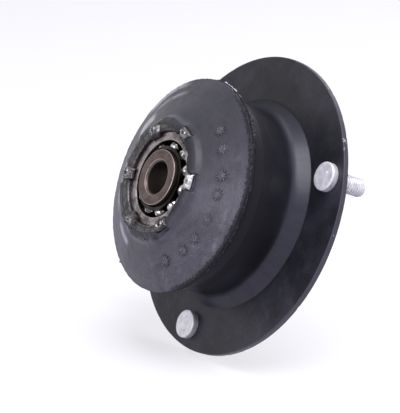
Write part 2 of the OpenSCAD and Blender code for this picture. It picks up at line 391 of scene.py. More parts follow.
@dataclass(frozen=True)
class MouldedRubber:
    """Moulded rubber: dusty grey on the disc's face, dark in the waist, torn along the flash; painted shade
    on one side and along the lapped lip, painted highlights on rubbed patches.
    """

    disc_r: float
    disc_z: float
    collar_r: float
    lapped_angle: float
    deep: Triple = (0.0115, 0.0116, 0.0148)
    bloom: Triple = (0.041, 0.041, 0.051)
    smear: Triple = (0.082, 0.081, 0.098)
    soot: Triple = (0.009, 0.009, 0.0115)
    scuff: Triple = (0.3, 0.29, 0.33)
    bare: Triple = (0.5, 0.49, 0.52)
    dusty_angle: float = -118.0
    frayed_angle: float = -85.0
    highlight_soft: float = 1.6
    rubbed_highlights: tuple[RubbedHighlight, ...] = (
        RubbedHighlight(37.0, 64.0, 4.0, 1.8, 1.0),
        RubbedHighlight(45.8, 46.0, 9.0, 0.6, 0.9),
        RubbedHighlight(40.5, 40.0, 7.0, 0.2, 0.45),
        RubbedHighlight(34.4, 151.0, 4.0, 0.5, 1.0),
        RubbedHighlight(36.0, 108.0, 8.0, 0.8, 0.5),
    )

    def rubbed(self, board: Board, at: Place) -> Wire:
        """Mask the patches that are rubbed smooth and lightened as painted highlights.

        Args:
            board: The material's board.
            at: The place.

        Returns:
            The mask, from 0 to 1.
        """
        edges = board.noise(at.spot, 4.2, 4.0, 0.65)
        wavy = at.radius + (edges - 0.5) * 2.0
        mask: Amount = 0.0
        for smear in self.rubbed_highlights:
            low, high = smear.radius - smear.half_width, smear.radius + smear.half_width
            length = smear.half_length
            patch = wavy.band(low, high, self.highlight_soft) * at.towards(smear.angle).ramp(0.0, 1.0)
            patch = patch * at.across(smear.angle).band(-length, length, length * 0.9)
            mask = patch * smear.strength + mask
        return mask * (0.5 + edges.ramp(0.36, 0.56) * 0.5)

    def material(self) -> bpy.types.Material:
        """Make the rubber.

        Returns:
            The material.
        """
        board = Board(bpy.data.materials.new("moulded_rubber"))
        at = board.place()
        across, along = at.x / at.radius, at.y / at.radius
        clouds = board.noise(at.spot, 13.0, 4.0)
        wipes = board.noise(board.join(at.radius * 0.4, across * 3.0, along * 3.0), 1.0, 5.0, 0.66)
        grain = board.noise(at.spot, 0.55, 2.0)
        speck = board.noise(at.spot, 1.1, 3.0, 0.7)
        smudge = board.noise(at.spot, 5.0, 5.0, 0.68).ramp(0.5, 0.78)
        face = at.z.ramp(self.disc_z + 0.9, self.disc_z + 1.35)
        lapped = at.facing(self.lapped_angle).ramp(0.1, 0.6)
        crown = 1 - at.radius.ramp(self.collar_r - 4.2, self.collar_r - 1.8)
        crown = crown * (1 - lapped)
        # Painted shade along the torn lip where it laps over the hub, with less coat there.
        lip = 1 - (at.radius + (speck - 0.5) * 2.0).ramp(self.collar_r - 7.0, self.collar_r - 3.6)
        lip = lip * lapped
        torn_edge = 1 - at.radius.ramp(self.collar_r - 8.6, self.collar_r - 6.6)
        # Rubbed patches: smoother, and lightened as painted highlights.
        rubbed_highlight_mask = self.rubbed(board, at) * face
        dusty = at.radius.band(self.disc_r - 11.0, self.disc_r - 0.5, 4.0)
        dusty = dusty * at.facing(self.dusty_angle).ramp(0.2, 0.95)
        frayed = (at.radius + (speck - 0.5) * 4.0).ramp(self.disc_r - 1.9, self.disc_r - 1.0)
        frayed = frayed * at.facing(self.frayed_angle).ramp(0.2, 0.6)
        frayed = frayed * at.z.ramp(self.disc_z - 1.2, self.disc_z - 0.6)
        tip = at.radius.ramp(self.disc_r + 0.5, self.disc_r + 1.0) * speck.ramp(0.45, 0.6)
        thin = at.radius.ramp(self.disc_r + 0.38, self.disc_r + 0.5) * across.ramp(0.94, 0.97)
        tone = board.coats(
            self.bloom,
            (clouds.ramp(0.32, 0.7) * 0.55, self.smear),
            (wipes.ramp(0.5, 0.75) * 0.4, self.smear),
            ((1 - wipes.ramp(0.28, 0.46)) * 0.45, self.soot),
            (grain.ramp(0.5, 0.75) * 0.1 + speck.ramp(0.62, 0.74) * 0.1, self.scuff),
            (crown * (0.4 + clouds * 0.6), self.soot),
            # painted shade on the lapped lip
            (lip * 0.7, self.soot),
            (torn_edge * (0.35 + speck * 0.7), self.soot),
            # Painted shade: the disc is darkened towards +x.
            (across.ramp(0.1, 0.9) * 0.48, self.soot),
            # painted highlight on the rubbed patches
            (rubbed_highlight_mask * 0.85, self.scuff),
            (dusty * (smudge * 0.28 + grain.ramp(0.58, 0.75) * 0.25), self.scuff),
            (1 - face, self.deep),
            (frayed * 0.9, self.soot),
            (frayed * grain.ramp(0.62, 0.72) * 0.3, self.scuff),
            (tip * 0.22, self.scuff),
            (thin, self.bare),
        )
        sheen = face * (0.25 + wipes * 0.1) + rubbed_highlight_mask * 0.4 + 0.1
        return board.finish({
            "Base Color": tone,
            "Roughness": 0.42 + wipes * 0.1 - rubbed_highlight_mask * 0.22,
            "Specular IOR Level": 0.08,
            "Coat Weight": sheen * (1 - frayed * 0.7) * (1 - lip * 0.6),
            "Coat Roughness": 0.42,
            "Normal": board.bump(grain * 0.5 + wipes * 0.3 + speck * 0.3, 0.45, 0.3),
        })


@dataclass(frozen=True)
class DustyMark:
    """Raised rubber marks with dust caught on their edges."""

    rubber: Triple = (0.05, 0.05, 0.06)
    dust: Triple = (0.15, 0.147, 0.165)
    shade: Triple = (0.012, 0.012, 0.014)

    def material(self) -> bpy.types.Material:
        """Make the marks' rubber.

        Returns:
            The material.
        """
        board = Board(bpy.data.materials.new("dusty_mark"))
        grain = board.noise(board.spot(), 0.7, 3.0, 0.7)
        dusty, shaded = grain.ramp(0.5, 0.66) * 0.8, (1 - grain.ramp(0.3, 0.44)) * 0.6
        return board.finish({
            "Base Color": board.coats(self.rubber, (dusty, self.dust), (shaded, self.shade)),
            "Roughness": 0.5 + grain * 0.15,
            "Specular IOR Level": 0.32,
            "Normal": board.bump(grain, 0.5, 0.3),
        })


@dataclass(frozen=True)
class TurnedMetal:
    """Metal with fine rings from the lathe, painted highlights along its edges and greasy inner walls."""

    name: str
    clean: Triple
    stain: Triple
    rough: float
    middle_z: float = 0.0
    face_level: float = 0.0
    clear_from_r: float = 0.0
    highlit_edges: tuple[float, ...] = ()
    grease: Triple = (0.034, 0.029, 0.025)
    bright: Triple = (0.5, 0.48, 0.49)
    ring_size: float = 0.3
    edge_half_w: float = 0.06

    def material(self) -> bpy.types.Material:
        """Make the metal.

        Returns:
            The material.
        """
        board = Board(bpy.data.materials.new(self.name))
        at = board.place()
        rings = board.rings(at, self.ring_size)
        clouds = board.noise(at.spot, 4.5, 4.0, 0.62)
        grit = board.noise(at.spot, 0.5, 2.0)
        blots = board.noise(at.spot, 1.7).ramp(0.66, 0.71)
        level = ((at.z - self.middle_z) * (at.z - self.middle_z)) ** 0.5
        open_face = at.radius.ramp(self.clear_from_r, self.clear_from_r + 0.2)
        open_face = open_face * level.ramp(self.face_level, self.face_level + 0.25)
        greasy = 1 - open_face * (1 - blots * 0.8)
        half = self.edge_half_w
        # Painted highlights: thin lighter rings along the chamfered edges.
        edges = [at.radius.band(edge_r - half, edge_r + half, 2 * half) for edge_r in self.highlit_edges]
        tone = board.coats(
            self.clean,
            (clouds.ramp(0.36, 0.66), self.stain),
            (rings.ramp(0.42, 0.62) * 0.5, self.stain),
            *((edge * (0.1 + clouds * 0.8), self.bright) for edge in edges),
            (greasy * 0.95, self.grease),
        )
        return board.finish({
            "Base Color": tone,
            "Metallic": 1.0,
            "Roughness": self.rough + clouds * 0.14 + greasy * 0.16,
            "Normal": board.bump(rings * 0.7 + grit * 0.3, 0.25, 0.12),
        })


@dataclass(frozen=True)
class StakedAlloy:
    """Dulled alloy of the hub: sooty on the rim, bright where the punch has struck."""

    rim_z: float
    clean_angle: float
    punch_r: float
    dull: Triple = (0.15, 0.14, 0.145)
    soot: Triple = (0.02, 0.019, 0.021)
    struck: Triple = (0.5, 0.5, 0.5)
    ring_size: float = 0.45
    lug_from_r: float = 18.6
    lug_half_w: float = 3.0

    def clean_lug(self, at: Place) -> Wire:
        """Mask the one lug that is still clean, less so on the wall of its punch dent, which keeps painted
        shade.

        Args:
            at: The place.

        Returns:
            The mask, from 0 to 1.
        """
        along, across = at.towards(self.clean_angle), at.across(self.clean_angle)
        mask = along.ramp(self.lug_from_r, self.lug_from_r + 0.8)
        mask = mask * at.z.ramp(self.rim_z - 0.1, self.rim_z + 0.2)
        mask = mask * across.band(-self.lug_half_w, self.lug_half_w, 0.25)
        mark = (across * across + (along - self.punch_r) * (along - self.punch_r)) ** 0.5
        # Painted shade: the wall of the punch dent is left dark.
        return mask * (1 - mark.band(0.7, 1.0, 0.2) * 0.7)

    def material(self) -> bpy.types.Material:
        """Make the alloy.

        Returns:
            The material.
        """
        board = Board(bpy.data.materials.new("staked_alloy"))
        at = board.place()
        rings = board.rings(at, self.ring_size)
        clouds = board.noise(at.spot, 3.0, 4.0, 0.62)
        pits = board.noise(at.spot, 0.8, 3.0, 0.65)
        clean = self.clean_lug(at)
        crest = at.z.ramp(self.rim_z + 1.0, self.rim_z + 1.7) * pits.ramp(0.44, 0.56) * 0.5
        tone = board.coats(
            self.dull,
            (clouds.ramp(0.38, 0.62) * 0.7, self.soot),
            ((1 - rings.ramp(0.38, 0.6)) * 0.7, self.soot),
            (clean * 0.95 + crest * (1 - clean), self.struck),
        )
        return board.finish({
            "Base Color": tone,
            "Metallic": 1.0,
            "Roughness": 0.3 + clouds * 0.2,
            "Normal": board.bump(rings * 0.5 + pits * 0.5, 0.4, 0.2),
        })


@dataclass(frozen=True)
class ZincPlate:
    """Matt zinc on the studs."""

    zinc: Triple = (0.6, 0.595, 0.62)
    pale: Triple = (0.76, 0.755, 0.78)
    grey: Triple = (0.2, 0.2, 0.215)

    def material(self) -> bpy.types.Material:
        """Make the zinc.

        Returns:
            The material.
        """
        board = Board(bpy.data.materials.new("matt_zinc"))
        spot = board.spot()
        clouds, grain = board.noise(spot, 2.4, 4.0), board.noise(spot, 0.35, 2.0)
        pale, grey = clouds.ramp(0.35, 0.7), grain.ramp(0.62, 0.76) * 0.5
        return board.finish({
            "Base Color": board.coats(self.zinc, (pale, self.pale), (grey, self.grey)),
            "Metallic": 0.55,
            "Roughness": 0.46 + clouds * 0.14,
            "Normal": board.bump(grain, 0.25, 0.1),
        })


@dataclass(frozen=True)
class PolishedBall:
    """Hard polished ball with a film of grease."""

    steel: Triple = (0.52, 0.515, 0.51)
    grease: Triple = (0.02, 0.018, 0.016)

    def material(self) -> bpy.types.Material:
        """Make the ball's steel.

        Returns:
            The material.
        """
        board = Board(bpy.data.materials.new("polished_ball"))
        film = board.noise(board.spot(), 2.0).ramp(0.45, 0.54)
        return board.finish({
            "Base Color": board.coats(self.steel, (film * 0.85, self.grease)),
            "Metallic": 1.0,
            "Roughness": 0.05 + film * 0.12,
        })


# Mesh tools


def polar(point: Vector) -> Triple:
    """Give a point's radius, angle in degrees and height, in millimetres."""
    x, y, z = (value / MM for value in point)
    return math.hypot(x, y), math.degrees(math.atan2(y, x)), z


def from_polar(radius: float, angle: float, height: float) -> Vector:
    """Give the point at a radius, angle in degrees and height, in millimetres."""
    turn = math.radians(angle)
    return Vector((radius * math.cos(turn), radius * math.sin(turn), height)) * MM


def ripple(*place: float) -> float:
    """Give smooth noise between -1 and 1 at a place."""
    return noise.noise(Vector(place))


def rim_ripple(angle: float, rate: float, level: float = 0.0) -> float:
    """Give noise that closes round a rim, at an angle in degrees."""
    turn = math.radians(angle)
    return noise.noise(Vector((math.cos(turn), math.sin(turn), level)) * rate)


def smooth_window(gap: float, half: float, soft: float) -> float:
    """Be 1 inside a half width and fall smoothly to 0 past it."""
    share = min(max((half + soft - gap) / soft, 0.0), 1.0)
    return share * share * (3.0 - 2.0 * share)


def angle_gap(angle: float, other: float) -> float:
    """Give the distance between two angles, in degrees."""
    return abs((angle - other + 180.0) % 360.0 - 180.0)


@dataclass(frozen=True)
class Stretch:
    """A stretch round the axis that fades out past its ends, in degrees."""

    middle: float
    half: float
    soft: float

    def share(self, angle: float) -> float:
        """Tell how far an angle lies on the stretch, from 0 to 1."""
        return smooth_window(angle_gap(angle, self.middle), self.half, self.soft)


def rounded(corners: list[Triple], turns: int = 5) -> list[Point]:
    """Round the corners of a closed section.

    Args:
        corners: Radius, height and rounding of each corner, in millimetres.
        turns: Steps in each rounding.

    Returns:
        The section's points.
    """
    points: list[Point] = []
    for index, (radius, height, rounding) in enumerate(corners):
        corner = Vector((radius, height))
        if rounding <= 0:
            points.append((radius, height))
            continue
        before = Vector(corners[index - 1][:2]) - corner
        after = Vector(corners[(index + 1) % len(corners)][:2]) - corner
        half = before.angle(after) / 2
        reach = min(rounding / math.tan(half), before.length * 0.49, after.length * 0.49)
        start = corner + before.normalized() * reach
        end = corner + after.normalized() * reach
        for step in range(turns + 1):
            share = step / turns
            point = (1 - share) ** 2 * start + 2 * share * (1 - share) * corner + share**2 * end
            points.append((point.x, point.y))
    return points


def arc(centre: Point, radius: float, first: float, last: float, steps: int) -> list[Point]:
    """Give points on an arc, with its angles in degrees."""
    turns = [math.radians(first + (last - first) * step / steps) for step in range(steps + 1)]
    return [(centre[0] + radius * math.cos(turn), centre[1] + radius * math.sin(turn)) for turn in turns]


def fine(points: list[Point], step: float) -> list[Point]:
    """Split the long sides of an open row of points.

    Args:
        points: The row's points.
        step: The longest side that may stay, in millimetres.

    Returns:
        The finer row.
    """
    result: list[Point] = []
    for point, following in zip(points, points[1:]):
        start, end = Vector(point), Vector(following)
        parts = max(1, math.ceil((end - start).length / step))
        result += [tuple(start.lerp(end, part / parts)) for part in range(parts)]
    return result + points[-1:]


def between(pairs: list[Pair], parts: int) -> list[Pair]:
    """Put further pairs of points between neighbouring ones.

    Args:
        pairs: The pairs in order.
        parts: How many parts each gap is split into.

    Returns:
        The finer row of pairs.
    """
    result: list[Pair] = []
    for pair, following in zip(pairs, pairs[1:]):
        ends = [(Vector(start), Vector(end)) for start, end in zip(pair, following)]
        for part in range(parts):
            result.append(tuple(tuple(start.lerp(end, part / parts)) for start, end in ends))
    return result + pairs[-1:]


def shift_to_partner(radius: float, height: float, pairs: list[Pair]) -> Optional[Point]:
    """Find how far a point is from its partner.

    Args:
        radius: The point's radius, in millimetres.
        height: Its height.
        pairs: Pairs of a first point and its partner.

    Returns:
        The move in radius and height, or None where the point is no pair's first.
    """
    first, second = min(pairs, key=lambda pair: math.dist((radius, height), pair[0]))
    if math.dist((radius, height), first) >= SAME_SPOT_MM:
        return None
    return second[0] - first[0], second[1] - first[1]


def clear_selection() -> None:
    """Deselect every object."""
    bpy.ops.object.select_all(action="DESELECT")


def take(piece: bpy.types.Object) -> None:
    """Make one object the only selected and the active one.

    Args:
        piece: The object.
    """
    clear_selection()
    piece.select_set(True)
    bpy.context.view_layer.objects.active = piece


@contextmanager
def editing(piece: bpy.types.Object, whole: bool = True) -> Iterator[None]:
    """Open one object in edit mode, and close it again.

    Args:
        piece: The object.
        whole: Whether all of it is selected first.

    Yields:
        Nothing, while the object is open.
    """
    take(piece)
    bpy.ops.object.mode_set(mode="EDIT")
    if whole:
        bpy.ops.mesh.select_all(action="SELECT")
    yield
    bpy.ops.object.mode_set(mode="OBJECT")


def rename(piece: bpy.types.Object, name: str) -> bpy.types.Object:
    """Name an object and its mesh."""
    piece.name = piece.data.name = name
    return piece


def close_mesh(piece: bpy.types.Object) -> None:
    """Merge an object's doubles, drop loose bits and point its faces outwards.

    Args:
        piece: The object.
    """
    with editing(piece):
        bpy.ops.mesh.remove_doubles(threshold=MERGE_MM * MM)
        bpy.ops.mesh.delete_loose()
        bpy.ops.mesh.select_all(action="SELECT")
        bpy.ops.mesh.normals_make_consistent(inside=False)


def soften(piece: bpy.types.Object, angle: float) -> None:
    """Shade an object smooth, with edges sharp past an angle in degrees."""
    take(piece)
    bpy.ops.object.shade_smooth_by_angle(angle=math.radians(angle))


def lathe(name: str, section: list[Point], steps: int) -> bpy.types.Object:
    """Spin a closed section about the axis.

    Args:
        name: The new piece's name.
        section: Radius and height of its points, in millimetres.
        steps: Steps in a full turn.

    Returns:
        The piece.
    """
    clear_selection()
    bpy.ops.mesh.primitive_circle_add(vertices=len(section), radius=MM)
    piece = rename(bpy.context.active_object, name)
    for vertex, (radius, height) in zip(piece.data.vertices, section):
        vertex.co = (radius * MM, 0.0, height * MM)
    with editing(piece):
        bpy.ops.mesh.spin(steps=steps, angle=math.tau, center=(0, 0, 0), axis=(0, 0, 1))
    close_mesh(piece)
    return piece


def sculpt(piece: bpy.types.Object, move: Callable[[Vector], Vector]) -> None:
    """Move each point of a mesh.

    Args:
        piece: The object.
        move: Gives a point's new place from its old one, both in metres.
    """
    for vertex in piece.data.vertices:
        vertex.co = move(vertex.co.copy())
    piece.data.update()


def merge(pieces: list[bpy.types.Object], name: str) -> bpy.types.Object:
    """Join objects into one.

    Args:
        pieces: The objects.
        name: The name of the one that is left.

    Returns:
        That object.
    """
    take(pieces[0])
    for piece in pieces:
        piece.select_set(True)
    bpy.ops.object.join()
    return rename(bpy.context.active_object, name)


def dress(piece: bpy.types.Object, material: bpy.types.Material) -> None:
    """Give an object one material."""
    piece.data.materials.clear()
    piece.data.materials.append(material)


def settle(
    piece: bpy.types.Object, body: Body, slot: Slot, material: bpy.types.Material, *nodes: str
) -> bpy.types.Object:
    """Dress a finished piece and tie it to its body.

    Args:
        piece: The piece.
        body: The body that it moves with.
        slot: The record's slot for its finish; not used.
        material: Its material.
        nodes: The solids that it stands for.

    Returns:
        The piece.
    """
    dress(piece, material)
    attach(piece, body.value)
    if nodes:
        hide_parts(*nodes)
    return piece


# Sub-assemblies


@dataclass
class Studs:
    """Three press-in studs with round heads and rolled threads."""

    circle_r: float = 57.5
    angles: tuple[float, ...] = (180.0, 300.0, 60.0)
    turned: float = 40.0
    thread_r: float = 4.0
    thread_depth: float = 0.62
    thread_core_r: float = 2.4
    groove_w: float = 1.35
    groove_slope: float = 4.0
    pitch: float = 1.25
    length: float = 16.0
    lead: float = 1.0
    runout: float = 0.9
    collar_r: float = 4.1
    hole_r: float = 4.15
    head_r: float = 6.25
    head_h: float = 3.0
    dimple_at: Point = (2.7, -0.4)
    dimple_depth: float = 0.45
    sheet: float = 2.5
    steps: int = 72
    sharp_angle: float = 38.0

    @property
    def top_z(self) -> float:
        """Height of the head's top."""
        return self.sheet + self.head_h

    def section(self) -> list[Point]:
        """Give half of a stud's section.

        Returns:
            The section's points.
        """
        corners = [
            (0.0, -self.length, 0.0),
            (self.thread_r - self.lead, -self.length, 0.25),
            (self.thread_r, self.lead - self.length, 0.2),
            (self.thread_r, -0.2, 0.0),
            (self.collar_r, 0.0, 0.0),
            (self.collar_r, self.sheet, 0.0),
            (self.head_r, self.sheet, 0.3),
            (self.head_r, self.top_z, 0.75),
            (self.head_r - 1.5, self.top_z - 0.02, 0.5),
            (self.head_r - 2.3, self.top_z - 0.12, 0.5),
            (0.0, self.top_z - 0.1, 0.0),
        ]
        return fine(rounded(corners, 4), self.pitch / 8)

    def threaded(self, point: Vector) -> Vector:
        """Roll the thread into the shank and dimple the head.

        Args:
            point: A point of the plain stud.

        Returns:
            Its new place.
        """
        radius, angle, height = polar(point)
        if height < 0:
            turn = (height / self.pitch - angle / 360.0) % 1.0
            groove = min(max(self.groove_w - abs(turn - 0.5) * self.groove_slope, 0.0), 1.0)
            near_wall = min(max((radius - self.thread_core_r) / 1.2, 0.0), 1.0)
            shank = smooth_window(self.runout + height, 0.0, 0.8)
            radius -= self.thread_depth * groove * near_wall * shank
        if height > self.top_z - 0.4:
            gap = math.dist((point.x / MM, point.y / MM), self.dimple_at)
            height -= self.dimple_depth * smooth_window(gap, 0.2, 0.4)
        return from_polar(radius, angle, height)

    def build(self) -> list[bpy.types.Object]:
        """Model one stud and set its copies round the flange.

        Returns:
            The piece.
        """
        first = lathe("stud", self.section(), self.steps)
        sculpt(first, self.threaded)
        soften(first, self.sharp_angle)
        copies = []
        for angle in self.angles:
            copy = first.copy()
            copy.data = first.data.copy()
            bpy.context.collection.objects.link(copy)
            spin = Matrix.Rotation(math.radians(angle + self.turned), 4, "Z")
            copy.data.transform(Matrix.Translation(from_polar(self.circle_r, angle, 0.0)) @ spin)
            copies.append(copy)
        bpy.data.objects.remove(first)
        piece = merge(copies, "threaded_studs")
        return [settle(piece, Body.MOUNT, Slot.ZINC, ZincPlate().material(), "studs")]


@dataclass
class FlangePlate:
    """The pressed steel flange with its cone, neck and turned-in lip."""

    studs: Studs
    neck_r: float = 42.0
    sheet: float = 2.5
    flange_w: float = 20.4
    cone_w: float = 4.6
    neck_start: float = 8.0
    lip_z: float = 27.5
    lip_w: float = 11.0
    bend_r: float = 4.0
    edge_break: float = 0.45
    crease_round: float = 0.7
    neck_round: float = 8.0
    nick_rate: float = 46.0
    nick_from: float = 0.28
    nick_depth: float = 0.55
    hole_steps: int = 48
    side_step: float = 2.2
    steps: int = 288
    sharp_angle: float = 30.0

    @property
    def crease_r(self) -> float:
        """Radius where the flat flange ends."""
        return self.neck_r + self.cone_w

    @property
    def rim_r(self) -> float:
        """Radius of the flange's rim."""
        return self.crease_r + self.flange_w

    @property
    def cup_r(self) -> float:
        """Radius inside the neck."""
        return self.neck_r - self.sheet

    @property
    def lip_r(self) -> float:
        """Radius of the turned-in lip's edge."""
        return self.neck_r - self.lip_w

    @property
    def inner_bend(self) -> float:
        """Rounding inside the bend of the lip."""
        return self.bend_r - self.sheet

    def section(self) -> list[Point]:
        """Give the sheet's section.

        Returns:
            The section's points.
        """
        slope = math.atan2(self.neck_start - self.sheet, self.cone_w)
        seat_r = self.crease_r - self.sheet * math.tan(slope / 2)
        cup_z = self.neck_start - self.sheet * math.tan((math.pi / 2 - slope) / 2)
        return rounded([
            (seat_r, 0.0, self.crease_round + 1.0),
            (self.rim_r, 0.0, self.edge_break),
            (self.rim_r, self.sheet, self.edge_break),
            (self.crease_r, self.sheet, self.crease_round),
            (self.neck_r, self.neck_start, self.neck_round),
            (self.neck_r, self.lip_z, self.bend_r),
            (self.lip_r, self.lip_z, 0.0),
            (self.lip_r, self.lip_z - self.sheet, 0.0),
            (self.cup_r, self.lip_z - self.sheet, self.inner_bend),
            (self.cup_r, cup_z, self.neck_round),
        ])

    def nicked(self, point: Vector) -> Vector:
        """Give the rim its small nicks.

        Args:
            point: A point of the plain flange.

        Returns:
            Its new place.
        """
        radius, angle, height = polar(point)
        edge = smooth_window(self.rim_r - radius, 0.3, 0.5)
        nick = max(rim_ripple(angle, self.nick_rate) - self.nick_from, 0.0) * self.nick_depth * edge
        return from_polar(radius - nick, angle, height)

    def build(self) -> list[bpy.types.Object]:
        """Model the flange and drill its stud holes.

        Returns:
            The piece.
        """
        studs = self.studs
        piece = lathe("flange_pressing", fine(self.section(), self.side_step), self.steps)
        sculpt(piece, self.nicked)
        for angle in studs.angles:
            clear_selection()
            bpy.ops.mesh.primitive_cylinder_add(
                vertices=self.hole_steps,
                radius=studs.hole_r * MM,
                depth=4 * self.sheet * MM,
                location=from_polar(studs.circle_r, angle, self.sheet / 2),
            )
            drill = bpy.context.active_object
            take(piece)
            cut = piece.modifiers.new("stud_hole", "BOOLEAN")
            cut.object = drill
            cut.operation = "DIFFERENCE"
            bpy.ops.object.modifier_apply(modifier=cut.name)
            bpy.data.objects.remove(drill)
        close_mesh(piece)
        soften(piece, self.sharp_angle)
        paint = SatinPaint(self.rim_r, self.crease_r).material()
        return [settle(piece, Body.MOUNT, Slot.PAINT, paint, "flange_plate")]


@dataclass
class BearingHub:
    """The alloy hub, with six lugs staked in over the outer race."""

    seat_r: float = 20.82
    wall: float = 4.2
    rim_z: float = 48.0
    race_face_z: float = 46.5
    race_floor_z: float = 32.5
    floor: float = 3.5
    opening_r: float = 17.6
    load_flange_r: float = 41.0
    load_flange_t: float = 3.0
    edge_break: float = 0.6
    lug_count: int = 6
    lug_phase: float = 43.0
    lug_half_w: float = 6.6
    lug_soft: float = 1.4
    lug_wander: float = 1.1
    clean_lug: int = -2
    notch_gap: float = 1.6
    batter: float = 1.6
    score: float = 0.1
    punch_inset: float = 2.1
    punch_depth: float = 1.25
    punch_ring_r: float = 1.35
    punch_ring_h: float = 0.45
    punch_stray: Point = (0.6, 0.7)
    stray_rate: float = 7.3
    steps: int = 480
    sharp_angle: float = 40.0

    def __post_init__(self) -> None:
        """Work out the rim once."""
        self.rim_pairs = self.rim()

    @property
    def hub_r(self) -> float:
        """Outer radius of the sleeve."""
        return self.seat_r + self.wall

    @property
    def foot_z(self) -> float:
        """Height of the hub's lower end."""
        return self.race_floor_z - self.floor

    @property
    def load_top_z(self) -> float:
        """Height of the load flange's upper face."""
        return self.race_floor_z + self.load_flange_t

    def rim(self) -> list[Pair]:
        """Give the rim's points, each with its place where a lug is staked over.

        Returns:
            The pairs of points.
        """
        out, seat, top, face = self.hub_r, self.seat_r, self.rim_z, self.race_face_z
        return between([
            ((out, top - self.edge_break), (out - 0.1, top - 0.2)),
            ((out - self.edge_break, top), (out - 0.5, top + 0.8)),
            ((out - 1.3, top), (out - 1.1, top + 1.3)),
            ((out - 2.0, top), (out - 1.9, top + 1.5)),
            ((out - 2.8, top), (out - 2.9, top + 1.4)),
            ((seat + self.edge_break, top), (seat - 0.4, top + 0.85)),
            ((seat + 0.2, top - 0.25), (seat - 1.1, top + 0.1)),
            ((seat, top - self.edge_break), (seat - 1.4, top - 0.6)),
            ((seat, face + 0.55), (seat - 1.4, face + 0.25)),
            ((seat, face + 0.3), (seat - 1.1, face + 0.03)),
        ], 3)

    def section(self) -> list[Point]:
        """Give the hub's section, without its lugs.

        Returns:
            The section's points.
        """
        lower = rounded([
            (self.seat_r, self.race_face_z + 0.02, 0.0),
            (self.seat_r, self.race_floor_z, 0.0),
            (self.opening_r, self.race_floor_z, 0.4),
            (self.opening_r, self.foot_z, 0.5),
            (self.hub_r, self.foot_z, self.edge_break),
            (self.hub_r, self.race_floor_z, 0.0),
            (self.load_flange_r, self.race_floor_z, self.edge_break),
            (self.load_flange_r, self.load_top_z, self.edge_break),
            (self.hub_r, self.load_top_z, 0.0),
        ], 3)
        return [base for base, _ in self.rim_pairs] + lower

    def lug_gap(self, angle: float) -> float:
        """Give the angle to the nearest lug's middle, in degrees."""
        return angle_gap((angle - self.lug_phase) * self.lug_count, 0.0) / self.lug_count

    def lug_share(self, angle: float) -> float:
        """Tell how far a lug stands at an angle, from 0 to 1."""
        wander = ripple(angle * 0.5, self.lug_phase, 0.0) * self.lug_wander
        return smooth_window(self.lug_gap(angle) + wander, self.lug_half_w, self.lug_soft)

    def notch_share(self, angle: float) -> float:
        """Tell how far the rubber stands back round a lug at an angle, from 0 to 1."""
        return smooth_window(self.lug_gap(angle), self.lug_half_w + self.notch_gap, self.lug_soft)

    def punch(self, radius: float, angle: float) -> float:
        """Give the depth of the punch's dent in a lug.

        Args:
            radius: Where, in millimetres.
            angle: Where, in degrees.

        Returns:
            The depth in millimetres, below 0 on the ring that the punch has raised.
        """
        lug = round((angle - self.lug_phase) * self.lug_count / 360.0)
        stray = noise.noise_vector(Vector((lug * self.stray_rate, 1.0, 0.0)))
        along = math.radians(self.lug_gap(angle)) * radius + stray.x * self.punch_stray[0]
        across = radius - self.hub_r + self.punch_inset + stray.y * self.punch_stray[1]
        gap = math.hypot(along, across)
        ring = self.punch_ring_h * smooth_window(abs(gap - self.punch_ring_r), 0.1, 0.45)
        return self.punch_depth * smooth_window(gap, 0.3, 0.8) - ring

    def staked(self, point: Vector) -> Vector:
        """Bend the rim's points over at the lugs and batter them a little.

        Args:
            point: A point of the plain hub.

        Returns:
            Its new place.
        """
        radius, angle, height = polar(point)
        on_rim = height > self.race_face_z
        move = shift_to_partner(radius, height, self.rim_pairs) if on_rim else None
        if move is None:
            return point
        share = self.lug_share(angle)
        batter = ripple(angle * 0.4, radius, 2.0) * self.batter
        score = ripple(angle * 0.05, radius * 3.0, 5.0) * self.score
        radius += move[0] * share
        height += (move[1] + batter * 0.3) * share + score + batter * 0.05
        height -= self.punch(radius, angle) * share
        return from_polar(radius, angle, height)

    def build(self) -> list[bpy.types.Object]:
        """Model the hub.

        Returns:
            The piece.
        """
        piece = lathe("staked_hub", self.section(), self.steps)
        sculpt(piece, self.staked)
        soften(piece, self.sharp_angle)
        clean_angle = self.lug_phase + self.clean_lug * 360.0 / self.lug_count
        metal = StakedAlloy(self.rim_z, clean_angle, self.hub_r - self.punch_inset)
        return [settle(piece, Body.MOUNT, Slot.ALLOY, metal.material(), "bearing_hub")]


